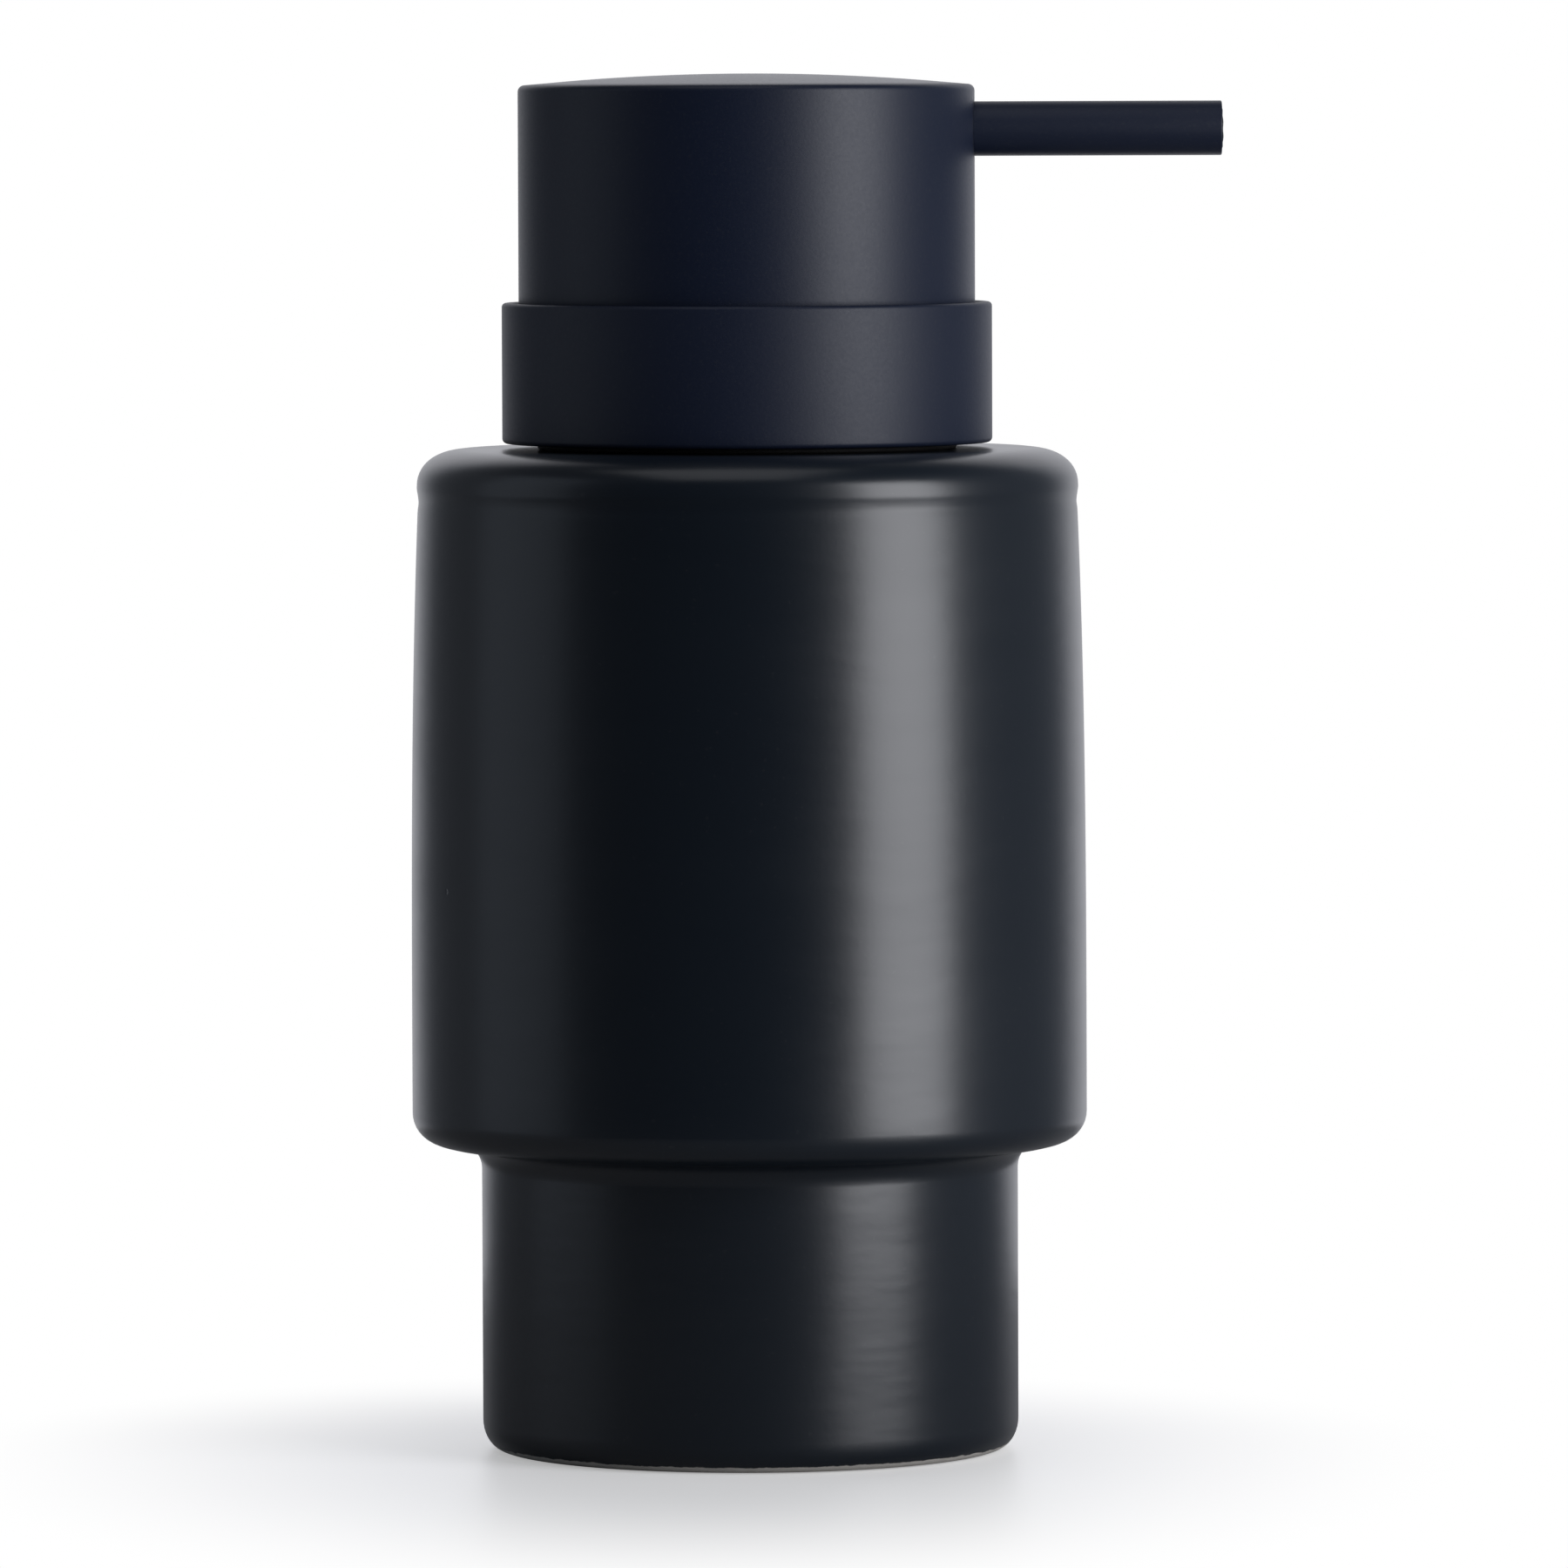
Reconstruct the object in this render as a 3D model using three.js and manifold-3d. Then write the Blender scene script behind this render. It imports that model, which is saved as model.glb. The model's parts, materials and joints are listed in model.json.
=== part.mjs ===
import * as THREE from 'three';
import { mergeVertices } from 'three/addons/utils/BufferGeometryUtils.js';
import Module from 'manifold-3d';

// A stoneware soap bottle with a powder-coated lotion pump. Millimetres, +Z up.
// The bottle stands on z = 0 with its axis on Z, and the spout points along +X.

const wasm = await Module();
wasm.setup();

// Bottle
const BODY_RADIUS = 40;
const BODY_TAPER = 0.9;          // how much smaller the radius is at the shoulder
const STEP_WIDTH = 8.2;          // how far the body overhangs the foot
const STEP_HEIGHT = 36.4;        // underside of the overhanging body
const SHOULDER_HEIGHT = 118.6;   // flat top of the bottle
const FOOT_EDGE = 2.6;           // rounding where the foot meets the ground
const STEP_FILLET = 3;
const BODY_EDGE = 4;             // lower edge of the body
const SHOULDER_EDGE = 4.1;
const FOOT_WALL = 4.5;
const BODY_WALL = 4;
const FLOOR_THICKNESS = 5;
const ROOF_THICKNESS = 5;
const INNER_FILLET = 4;

// Neck
const NECK_RADIUS = 18;          // outside of the glued-in neck insert
const NECK_WALL = 2;
const NECK_DEPTH = 14.2;         // part of the insert inside the bottle
const NECK_RISE = 9.8;           // part of the insert above the shoulder
const THREAD_BEAD = 0.9;
const THREAD_PITCH = 3.2;
const THREAD_TURNS = 1.3;
const THREAD_STAND = 1.1;        // how far the bead stands out of the neck
const NECK_GASKET_RADIUS = 24.8;
const NECK_GASKET_THICKNESS = 0.7;

// Collar and closure nut
const COLLAR_WALL = 1.3;
const COLLAR_GAP = 0.7;          // between the cap's skirt and the collar
const COLLAR_FLOOR = 1.4;
const CAP_OVERLAP = 2;           // cap skirt inside the collar with the pump up
const END_STOP_GAP = 1.2;        // cap skirt above the collar floor with the pump down
const METAL_EDGE = 0.35;
const NUT_GAP = 0.8;             // between the nut and the cap's skirt
const NUT_LEDGE = 2.4;

// Pump
const STROKE = 12;
const BARREL_RADIUS = 8.6;       // bore of the pump barrel
const BARREL_WALL = 1.7;
const BARREL_DEPTH = 40;
const FLANGE_GAP = 0.8;          // between the pump's flange and the nut's bore
const FLANGE_THICKNESS = 1.6;
const HOUSING_GASKET_THICKNESS = 0.9;
const VENT_RADIUS = 0.8;
const VENT_DROP = 11;            // vent hole below the flange
const BUSH_LENGTH = 8.5;
const BUSH_FLANGE_RADIUS = 11.4;
const BUSH_FLANGE_THICKNESS = 1.8;
const WIPER_THICKNESS = 1;
const WIPER_WIDTH = 1;
const WIPER_DROP = 3;            // wiper below the top of the barrel flange
const STEM_RADIUS = 3.6;
const STEM_BORE = 2.2;
const STEM_SHOULDER_RADIUS = 5.5;
const STEM_SHOULDER_HEIGHT = 2;
const STEM_DROP = 4.1;           // top of the stem below the spout's axis
const PORT_RADIUS = 0.6;
const PORT_RISE = 0.9;
const PISTON_HEIGHT = 6.4;
const PISTON_WEB = 2.8;
const PISTON_LIP = 1;
const PLUG_RADIUS = 5.6;
const PLUG_THICKNESS = 2.2;
const PLUG_SPIGOT = 3;
const PLUG_SLOT = 1.4;
const SPRING_RADIUS = 5.2;
const SPRING_WIRE = 0.5;
const SPRING_TURNS = 6.5;
const CAGE_THICKNESS = 1.4;
const CAGE_HOLE = 0.8;
const CAGE_HOLES = 4;
const BALL_RADIUS = 2;
const BALL_TRAVEL = 1.5;
const BALL_PLAY = 0.9;           // around the ball in its bore
const SEAT_RADIUS = 1.4;
const SEAT_THICKNESS = 1.5;
const TUBE_RADIUS = 3;
const TUBE_WALL = 1;
const TUBE_SOCKET_DEPTH = 10;
const TUBE_SOCKET_WALL = 1.5;
const TUBE_FLOOR_GAP = 3;
const TUBE_END_SLANT = Math.PI / 6;

// Head
const CAP_RADIUS = 27;
const CAP_HEIGHT = 27.7;         // from the lower rim to the upper rim
const CAP_WALL = 1;
const CAP_ROOF = 1.2;
const DOME_RISE = 1.3;
const HUB_RADIUS = 8;
const PLATE_THICKNESS = 1.5;
const CRADLE_WIDTH = 10;
const CRADLE_RISE = 0.8;         // cradle wall above the spout's axis
const CORE_GAP = 0.5;            // hub above the guide bush with the pump down
const PLATE_GAP = 1.5;           // plate above the nut with the pump down
const CHANNEL_RADIUS = 1.6;
const SPOUT_RADIUS = 3.225;
const SPOUT_WALL = 0.475;
const SPOUT_REACH = 56.2;        // tip of the spout from the bottle's axis
const SPOUT_DROP = 5.3;          // spout axis below the cap's upper rim
const LINER_WALL = 0.85;
const LINER_START = 3;
const LINER_PROUD = 0.15;        // liner beyond the tip of the spout
const SEAL_BEAD = 0.65;
const SEAL_START = 4.6;

// Clearances
const FIT = 0.3;                 // between parts that slide, turn or plug together
const BALL_SEAT_GAP = 0.2;

// Smoothness of the parts, and how far a cutter runs past the face that it cuts
const LARGE_SIDES = 48;
const SMALL_SIDES = 24;
const HOLE_SIDES = 12;
const WIRE_SIDES = 6;
const BEAD_SIDES = 8;
const SPRING_STEPS = 16;         // per turn
const THREAD_STEPS = 28;         // per turn
const OVERCUT = 1;

// Levels and sizes that follow from the values above
const footRadius = BODY_RADIUS - STEP_WIDTH;
const collarLevel = SHOULDER_HEIGHT + NECK_GASKET_THICKNESS;
const collarHeight = COLLAR_FLOOR + END_STOP_GAP + STROKE + CAP_OVERLAP;
const nutLevel = collarLevel + COLLAR_FLOOR;
const neckTop = SHOULDER_HEIGHT + NECK_RISE;
const housingLevel = neckTop + HOUSING_GASKET_THICKNESS;
const flangeTop = housingLevel + FLANGE_THICKNESS;
const ledgeLevel = flangeTop + FIT;
const nutTop = ledgeLevel + NUT_LEDGE;
const bushTop = flangeTop + BUSH_FLANGE_THICKNESS;
const bushBottom = flangeTop - BUSH_LENGTH;
const wiperLevel = flangeTop - WIPER_DROP;
const shoulderLevel = bushBottom - FIT - STEM_SHOULDER_HEIGHT;
const pistonWebTop = (PISTON_HEIGHT + PISTON_WEB) / 2;
const pistonLevel = shoulderLevel - pistonWebTop;
const plugTop = shoulderLevel - PISTON_WEB;
const plugLevel = plugTop - PLUG_THICKNESS;
const chamberFloor = housingLevel - BARREL_DEPTH;
const cageTop = chamberFloor + CAGE_THICKNESS;
const springLength = plugLevel - cageTop - 2 * FIT;
const ballCentre = chamberFloor - BALL_SEAT_GAP - BALL_TRAVEL - BALL_RADIUS;
const ballBore = BALL_RADIUS + BALL_PLAY;
const seatLevel = ballCentre - Math.sqrt((BALL_RADIUS + BALL_SEAT_GAP) ** 2 - SEAT_RADIUS ** 2);
const tubeSocketTop = seatLevel - SEAT_THICKNESS;
const tubeTop = tubeSocketTop - FIT;
const tubeLevel = FLOOR_THICKNESS + TUBE_FLOOR_GAP;
const capLevel = collarLevel + collarHeight - CAP_OVERLAP;
const capRim = capLevel + CAP_HEIGHT;
const capBore = CAP_RADIUS - CAP_WALL;
const collarBore = CAP_RADIUS + COLLAR_GAP;
const spoutLevel = capRim - SPOUT_DROP;
const plateLevel = nutTop + STROKE + PLATE_GAP;
const hubLevel = bushTop + STROKE + CORE_GAP;
const stemTop = spoutLevel - STEM_DROP;
const spoutStart = HUB_RADIUS + FIT;
const linerRadius = SPOUT_RADIUS - SPOUT_WALL - FIT;
const sealMiddle = linerRadius + FIT + SEAL_BEAD;
const threadCrest = NECK_RADIUS + THREAD_STAND;
const nutBore = threadCrest + FIT;

// Points of an arc from angle a to angle b, in degrees; ry makes it elliptical.
function arc(x, y, r, a, b, steps, ry = r) {
  return Array.from({ length: steps + 1 }, (_, i) => {
    const t = THREE.MathUtils.degToRad(a + ((b - a) * i) / steps);
    return [x + r * Math.cos(t), y + ry * Math.sin(t)];
  });
}

// A solid of revolution about Z from [radius, height] points.
function turned(outline, sides) {
  const points = outline.map(([r, z]) => new THREE.Vector2(r, z));
  return new THREE.LatheGeometry(points, sides).rotateX(Math.PI / 2);
}

function ring(inner, outer, height, sides) {
  return turned([[inner, 0], [outer, 0], [outer, height], [inner, height], [inner, 0]], sides);
}

function rod(radius, length, sides = SMALL_SIDES) {
  return turned([[0, 0], [radius, 0], [radius, length], [0, length]], sides);
}

function alongX(geometry) {
  return geometry.rotateY(Math.PI / 2);
}

function alongY(geometry) {
  return geometry.rotateX(-Math.PI / 2);
}

function toSolid(geometry) {
  const bare = geometry.clone();
  bare.deleteAttribute('normal');
  bare.deleteAttribute('uv');
  const merged = mergeVertices(bare, 1e-5);
  return new wasm.Manifold(new wasm.Mesh({
    numProp: 3,
    vertProperties: new Float32Array(merged.attributes.position.array),
    triVerts: new Uint32Array(merged.index.array),
  }));
}

function toGeometry(solid) {
  const mesh = solid.getMesh();
  const geometry = new THREE.BufferGeometry();
  geometry.setAttribute('position', new THREE.BufferAttribute(mesh.vertProperties, 3));
  geometry.setIndex(new THREE.BufferAttribute(mesh.triVerts, 1));
  geometry.computeVertexNormals();
  return geometry;
}

function join(first, ...rest) {
  return toGeometry(rest.reduce((sum, g) => sum.add(toSolid(g)), toSolid(first)));
}

function cut(first, ...tools) {
  return toGeometry(tools.reduce((left, g) => left.subtract(toSolid(g)), toSolid(first)));
}

// A helix about Z that climbs by rise.
class Helix extends THREE.Curve {
  constructor(radius, rise, turns) {
    super();
    Object.assign(this, { radius, rise, turns });
  }

  getPoint(t, target = new THREE.Vector3()) {
    const angle = 2 * Math.PI * this.turns * t;
    return target.set(this.radius * Math.cos(angle), this.radius * Math.sin(angle), this.rise * t);
  }
}

// A round wire or bead along a helix.
function coil(radius, rise, turns, wire, wireSides, stepsPerTurn) {
  const section = new THREE.Shape();
  section.setFromPoints(arc(0, 0, wire, 0, 360, wireSides).slice(0, -1)
    .map(([x, y]) => new THREE.Vector2(x, y)));
  return new THREE.ExtrudeGeometry(section, {
    steps: Math.ceil(turns * stepsPerTurn),
    extrudePath: new Helix(radius, rise, turns),
    bevelEnabled: false,
  });
}

function finish(color, roughness, metalness) {
  return { color, roughness, metalness };
}

const STONEWARE = finish(0x15171a, 0.45, 0);
const COATED_METAL = finish(0x1b2229, 0.45, 0.6);
const WHITE_PLASTIC = finish(0xe4e4e0, 0.5, 0);
const DARK_PLASTIC = finish(0x26282b, 0.55, 0);
const CLEAR_PLASTIC = finish(0xd8dcdc, 0.3, 0);
const SILICONE = finish(0xb9bcbb, 0.6, 0);
const BLACK_RUBBER = finish(0x1a1a1a, 0.8, 0);
const STEEL = finish(0xb4b6b8, 0.3, 1);

function part(name, look, geometry, z = 0, x = 0) {
  const mesh = new THREE.Mesh(geometry, new THREE.MeshStandardMaterial(look));
  mesh.name = name;
  mesh.position.set(x, 0, z);
  return mesh;
}

function assembly(...parts) {
  return new THREE.Group().add(...parts);
}

// Outside radius of the body at a height: straight at first, drawn in towards the shoulder.
function bodyRadius(z) {
  const start = STEP_HEIGHT + BODY_EDGE;
  const share = (z - start) / (SHOULDER_HEIGHT - SHOULDER_EDGE - start);
  return BODY_RADIUS - BODY_TAPER * share ** 3;
}

// The thrown and turned bottle: a narrower foot under an overhanging body, hollow throughout.
function ceramicBottle() {
  const edgeTop = SHOULDER_HEIGHT - SHOULDER_EDGE;
  const sideStart = STEP_HEIGHT + BODY_EDGE;
  const sideSteps = 7;
  const side = Array.from({ length: sideSteps }, (_, i) => {
    const z = sideStart + ((edgeTop - sideStart) * (i + 1)) / (sideSteps + 1);
    return [bodyRadius(z), z];
  });
  const footBore = footRadius - FOOT_WALL;
  const bodyBore = BODY_RADIUS - BODY_WALL;
  const innerStep = STEP_HEIGHT + FOOT_WALL;
  const roof = SHOULDER_HEIGHT - ROOF_THICKNESS;
  const mouth = NECK_RADIUS + FIT;
  const shoulderRadius = BODY_RADIUS - BODY_TAPER - SHOULDER_EDGE;
  return part('ceramic_bottle', STONEWARE, turned([
    [0, 0],
    ...arc(footRadius - FOOT_EDGE, FOOT_EDGE, FOOT_EDGE, -90, 0, 3),
    ...arc(footRadius + STEP_FILLET, STEP_HEIGHT - STEP_FILLET, STEP_FILLET, 180, 90, 3),
    ...arc(BODY_RADIUS - BODY_EDGE, sideStart, BODY_EDGE, -90, 0, 4),
    ...side,
    ...arc(shoulderRadius, edgeTop, SHOULDER_EDGE, 0, 90, 5),
    [mouth, SHOULDER_HEIGHT],
    [mouth, roof],
    ...arc(bodyBore - INNER_FILLET, roof - INNER_FILLET, INNER_FILLET, 90, 0, 2),
    ...arc(bodyBore - INNER_FILLET, innerStep + INNER_FILLET, INNER_FILLET, 0, -90, 2),
    ...arc(footBore + STEP_FILLET, innerStep - STEP_FILLET, STEP_FILLET, 90, 180, 2),
    ...arc(footBore - INNER_FILLET, FLOOR_THICKNESS + INNER_FILLET, INNER_FILLET, 0, -90, 2),
    [0, FLOOR_THICKNESS],
  ], LARGE_SIDES));
}

// Plastic bush glued into the bottle's mouth, with a rounded screw thread outside.
function neckInsert() {
  const tube = ring(NECK_RADIUS - NECK_WALL, NECK_RADIUS, NECK_DEPTH + NECK_RISE, LARGE_SIDES);
  const rise = THREAD_PITCH * THREAD_TURNS;
  const threadTop = NECK_DEPTH + NECK_RISE - 2 * THREAD_BEAD;
  const bead = coil(threadCrest - THREAD_BEAD, rise, THREAD_TURNS, THREAD_BEAD,
    BEAD_SIDES, THREAD_STEPS);
  const thread = bead.translate(0, 0, threadTop - rise);
  return part('neck_insert', WHITE_PLASTIC, join(tube, thread), SHOULDER_HEIGHT - NECK_DEPTH);
}

function neckGasket() {
  const washer = ring(NECK_RADIUS + FIT, NECK_GASKET_RADIUS, NECK_GASKET_THICKNESS, LARGE_SIDES);
  return part('neck_gasket', BLACK_RUBBER, washer, SHOULDER_HEIGHT);
}

// Drawn metal ring with a floor; the cap's skirt slides down inside it.
function collarRing() {
  const hole = nutBore + FIT;
  const edge = collarBore + COLLAR_WALL - METAL_EDGE;
  return part('collar_ring', COATED_METAL, turned([
    [hole, 0],
    ...arc(edge, METAL_EDGE, METAL_EDGE, -90, 0, 2),
    ...arc(edge, collarHeight - METAL_EDGE, METAL_EDGE, 0, 90, 2),
    ...arc(collarBore + METAL_EDGE, collarHeight - METAL_EDGE, METAL_EDGE, 90, 180, 2),
    [collarBore, COLLAR_FLOOR],
    [hole, COLLAR_FLOOR],
    [hole, 0],
  ], LARGE_SIDES), collarLevel);
}

// Nut that screws onto the neck; its ledge holds the pump's flange down.
function closureNut() {
  const outside = capBore - NUT_GAP;
  const hole = BUSH_FLANGE_RADIUS + FIT;
  const height = nutTop - nutLevel;
  const ledge = ledgeLevel - nutLevel;
  return part('closure_nut', DARK_PLASTIC, turned([
    [nutBore, 0],
    [outside, 0],
    [outside, height],
    [hole, height],
    [hole, ledge],
    [nutBore, ledge],
    [nutBore, 0],
  ], LARGE_SIDES), nutLevel);
}

function housingGasket() {
  const inner = BARREL_RADIUS + BARREL_WALL + FIT;
  const washer = ring(inner, NECK_RADIUS, HOUSING_GASKET_THICKNESS, LARGE_SIDES);
  return part('housing_gasket', SILICONE, washer, neckTop);
}

// Barrel with a flange on top, and the ball seat and dip tube socket at its foot.
function pumpHousing() {
  const outside = BARREL_RADIUS + BARREL_WALL;
  const socketBore = TUBE_RADIUS + FIT;
  const socketOutside = socketBore + TUBE_SOCKET_WALL;
  const down = (z) => z - housingLevel;
  const socketEnd = tubeSocketTop - TUBE_SOCKET_DEPTH;
  const flange = nutBore - FLANGE_GAP;
  const body = turned([
    [socketBore, down(socketEnd)],
    [socketOutside, down(socketEnd)],
    [socketOutside, down(tubeSocketTop)],
    [outside, down(chamberFloor - BARREL_WALL)],
    [outside, 0],
    [flange, 0],
    [flange, FLANGE_THICKNESS],
    [BARREL_RADIUS, FLANGE_THICKNESS],
    [BARREL_RADIUS, down(chamberFloor)],
    [ballBore, down(chamberFloor)],
    [ballBore, down(seatLevel)],
    [SEAT_RADIUS, down(seatLevel)],
    [SEAT_RADIUS, down(tubeSocketTop)],
    [socketBore, down(tubeSocketTop)],
    [socketBore, down(socketEnd)],
  ], SMALL_SIDES);
  const vent = alongY(rod(VENT_RADIUS, outside + OVERCUT, HOLE_SIDES));
  vent.translate(0, 0, -VENT_DROP);
  return part('pump_housing', WHITE_PLASTIC, cut(body, vent), housingLevel);
}

// Bush in the top of the barrel that guides the stem, with a groove for the wiper.
function guideBush() {
  const bore = STEM_RADIUS + FIT;
  const groove = bore + WIPER_WIDTH + FIT;
  const sleeve = BARREL_RADIUS - FIT;
  const grooveTop = wiperLevel + WIPER_THICKNESS + FIT - bushBottom;
  const grooveBottom = wiperLevel - FIT - bushBottom;
  return part('guide_bush', DARK_PLASTIC, turned([
    [bore, 0],
    [sleeve, 0],
    [sleeve, BUSH_LENGTH],
    [BUSH_FLANGE_RADIUS, BUSH_LENGTH],
    [BUSH_FLANGE_RADIUS, BUSH_LENGTH + BUSH_FLANGE_THICKNESS],
    [bore, BUSH_LENGTH + BUSH_FLANGE_THICKNESS],
    [bore, grooveTop],
    [groove, grooveTop],
    [groove, grooveBottom],
    [bore, grooveBottom],
    [bore, 0],
  ], SMALL_SIDES), bushBottom);
}

function stemWiper() {
  const inner = STEM_RADIUS + FIT;
  const washer = ring(inner, inner + WIPER_WIDTH, WIPER_THICKNESS, SMALL_SIDES);
  return part('stem_wiper', BLACK_RUBBER, washer, wiperLevel);
}

// Perforated disc that keeps the inlet ball in and carries the spring.
function valveCage() {
  const disc = rod(BARREL_RADIUS - FIT, CAGE_THICKNESS);
  const holeCircle = ballBore - CAGE_HOLE / 2;
  const holes = Array.from({ length: CAGE_HOLES }, (_, i) => {
    const angle = (2 * Math.PI * i) / CAGE_HOLES;
    const hole = rod(CAGE_HOLE, CAGE_THICKNESS + 2 * OVERCUT, HOLE_SIDES);
    return hole.translate(holeCircle * Math.cos(angle), holeCircle * Math.sin(angle), -OVERCUT);
  });
  return part('valve_cage', CLEAR_PLASTIC, cut(disc, ...holes), chamberFloor);
}

function inletBall() {
  return part('inlet_ball', STEEL, new THREE.SphereGeometry(BALL_RADIUS, 16, 10), ballCentre);
}

// Suction tube to the bottle's floor, its lower end cut at a slant so that it can't seal.
function dipTube() {
  const length = tubeTop - tubeLevel;
  const tube = ring(TUBE_RADIUS - TUBE_WALL, TUBE_RADIUS, length, SMALL_SIDES);
  const width = 2 * (TUBE_RADIUS + OVERCUT);
  const knife = new THREE.BoxGeometry(2 * width, width, width).translate(0, 0, -width / 2);
  knife.rotateY(TUBE_END_SLANT).translate(TUBE_RADIUS, 0, 0);
  return part('dip_tube', CLEAR_PLASTIC, cut(tube, knife), tubeLevel);
}

function returnSpring() {
  const rise = springLength - 2 * SPRING_WIRE;
  const wire = coil(SPRING_RADIUS, rise, SPRING_TURNS, SPRING_WIRE,
    WIRE_SIDES, SPRING_STEPS);
  return part('return_spring', STEEL, wire, cageTop + FIT + SPRING_WIRE);
}

// Hollow stem from the piston up into the head, cross-drilled just above its lower end.
function pumpStem() {
  const shoulder = shoulderLevel - plugTop;
  const tube = turned([
    [STEM_BORE, 0],
    [STEM_RADIUS, 0],
    [STEM_RADIUS, shoulder],
    [STEM_SHOULDER_RADIUS, shoulder],
    [STEM_SHOULDER_RADIUS, shoulder + STEM_SHOULDER_HEIGHT],
    [STEM_RADIUS, shoulder + STEM_SHOULDER_HEIGHT],
    [STEM_RADIUS, stemTop - plugTop],
    [STEM_BORE, stemTop - plugTop],
    [STEM_BORE, 0],
  ], SMALL_SIDES);
  const half = STEM_RADIUS + OVERCUT;
  const ports = alongY(rod(PORT_RADIUS, 2 * half, HOLE_SIDES)).translate(0, -half, PORT_RISE);
  return part('pump_stem', WHITE_PLASTIC, cut(tube, ports), plugTop);
}

// Piston with a lip at each end that wipes the barrel.
function pistonSeal() {
  const inner = STEM_RADIUS + FIT;
  const outer = BARREL_RADIUS - FIT;
  const waist = outer - PISTON_LIP / 2;
  const web = outer - 2 * PISTON_LIP;
  const webBottom = pistonWebTop - PISTON_WEB;
  return part('piston_seal', CLEAR_PLASTIC, turned([
    [outer - PISTON_LIP, 0],
    [outer, 0],
    [waist, PISTON_HEIGHT / 2],
    [outer, PISTON_HEIGHT],
    [outer - PISTON_LIP, PISTON_HEIGHT],
    [web, pistonWebTop],
    [inner, pistonWebTop],
    [inner, webBottom],
    [web, webBottom],
    [outer - PISTON_LIP, 0],
  ], SMALL_SIDES), pistonLevel);
}

// Plug under the stem: its flange carries the piston and meets the spring.
function stemPlug() {
  const spigot = STEM_BORE - FIT;
  const body = turned([
    [0, 0],
    [PLUG_RADIUS, 0],
    [PLUG_RADIUS, PLUG_THICKNESS],
    [spigot, PLUG_THICKNESS],
    [spigot, PLUG_THICKNESS + PLUG_SPIGOT],
    [0, PLUG_THICKNESS + PLUG_SPIGOT],
  ], SMALL_SIDES);
  const slot = new THREE.BoxGeometry(PLUG_SLOT, 2 * STEM_RADIUS, PLUG_SPIGOT);
  slot.translate(0, 0, PLUG_THICKNESS + PLUG_SPIGOT / 2 + PORT_RADIUS / 2);
  return part('stem_plug', DARK_PLASTIC, cut(body, slot), plugLevel);
}

// Height of the cap's inside over its upper rim, at a radius.
function domeHeight(r) {
  return DOME_RISE * (1 - (r / capBore) ** 2);
}

// Drawn metal cap with a very shallow dome and a hole for the spout.
function capShell() {
  const edge = CAP_RADIUS - METAL_EDGE;
  const steps = 4;
  const dome = Array.from({ length: steps }, (_, i) => {
    const r = capBore * (1 - (i + 1) / steps);
    return [r, CAP_HEIGHT + domeHeight(r)];
  });
  const inside = [...dome].reverse().map(([r, z]) => [r, z - CAP_ROOF]);
  const shell = turned([
    [capBore, 0],
    ...arc(edge, METAL_EDGE, METAL_EDGE, -90, 0, 2),
    ...arc(edge, CAP_HEIGHT - METAL_EDGE, METAL_EDGE, 0, 90, 2),
    ...dome,
  ].concat(inside, [[capBore, CAP_HEIGHT - CAP_ROOF], [capBore, 0]]), LARGE_SIDES);
  const drill = alongX(rod(SPOUT_RADIUS + FIT, 2 * CAP_RADIUS));
  drill.translate(0, 0, CAP_HEIGHT - SPOUT_DROP);
  return part('cap_shell', COATED_METAL, cut(shell, drill), capLevel);
}

// Moulded core in the cap: it plugs onto the stem and holds the spout.
function actuatorCore() {
  const axis = spoutLevel - hubLevel;
  const plate = plateLevel - hubLevel;
  const hubHeight = capRim - CAP_ROOF + domeHeight(HUB_RADIUS) - FIT - hubLevel;
  const plateRadius = capBore - FIT;
  const cradleHeight = axis + CRADLE_RISE - plate;
  const cradleLength = plateRadius - CAP_WALL;
  const cradle = new THREE.BoxGeometry(cradleLength, CRADLE_WIDTH, cradleHeight);
  cradle.translate(cradleLength / 2, 0, plate + cradleHeight / 2);
  const disc = rod(plateRadius, PLATE_THICKNESS, LARGE_SIDES).translate(0, 0, plate);
  const body = join(rod(HUB_RADIUS, hubHeight), disc, cradle);
  const reach = plateRadius;
  const spoutBore = alongX(rod(SPOUT_RADIUS + FIT, reach)).translate(HUB_RADIUS, 0, axis);
  const sealBore = alongX(rod(sealMiddle + SEAL_BEAD + FIT, reach)).translate(SEAL_START, 0, axis);
  const linerBore = alongX(rod(linerRadius + FIT, reach)).translate(LINER_START - FIT, 0, axis);
  const channel = alongX(rod(CHANNEL_RADIUS, reach)).translate(0, 0, axis);
  const socketDepth = stemTop + FIT - hubLevel;
  const socket = rod(STEM_RADIUS + FIT, socketDepth + OVERCUT).translate(0, 0, -OVERCUT);
  const riser = rod(CHANNEL_RADIUS, axis);
  return part('actuator_core', WHITE_PLASTIC,
    cut(body, spoutBore, sealBore, linerBore, channel, socket, riser), hubLevel);
}

// Rubber ring between the liner and the core.
function spoutSeal() {
  const bead = new THREE.TorusGeometry(sealMiddle, SEAL_BEAD, BEAD_SIDES, SMALL_SIDES);
  return part('spout_seal', BLACK_RUBBER, alongX(bead), spoutLevel, SEAL_START + FIT + SEAL_BEAD);
}

function spoutTube() {
  const length = SPOUT_REACH - spoutStart;
  const bore = SPOUT_RADIUS - SPOUT_WALL;
  const edge = METAL_EDGE / 2;
  const tube = turned([
    [bore, 0],
    [SPOUT_RADIUS, 0],
    ...arc(SPOUT_RADIUS - edge, length - edge, edge, 0, 90, 2),
    [bore, length],
    [bore, 0],
  ], SMALL_SIDES);
  return part('spout_tube', COATED_METAL, alongX(tube), spoutLevel, spoutStart);
}

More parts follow.
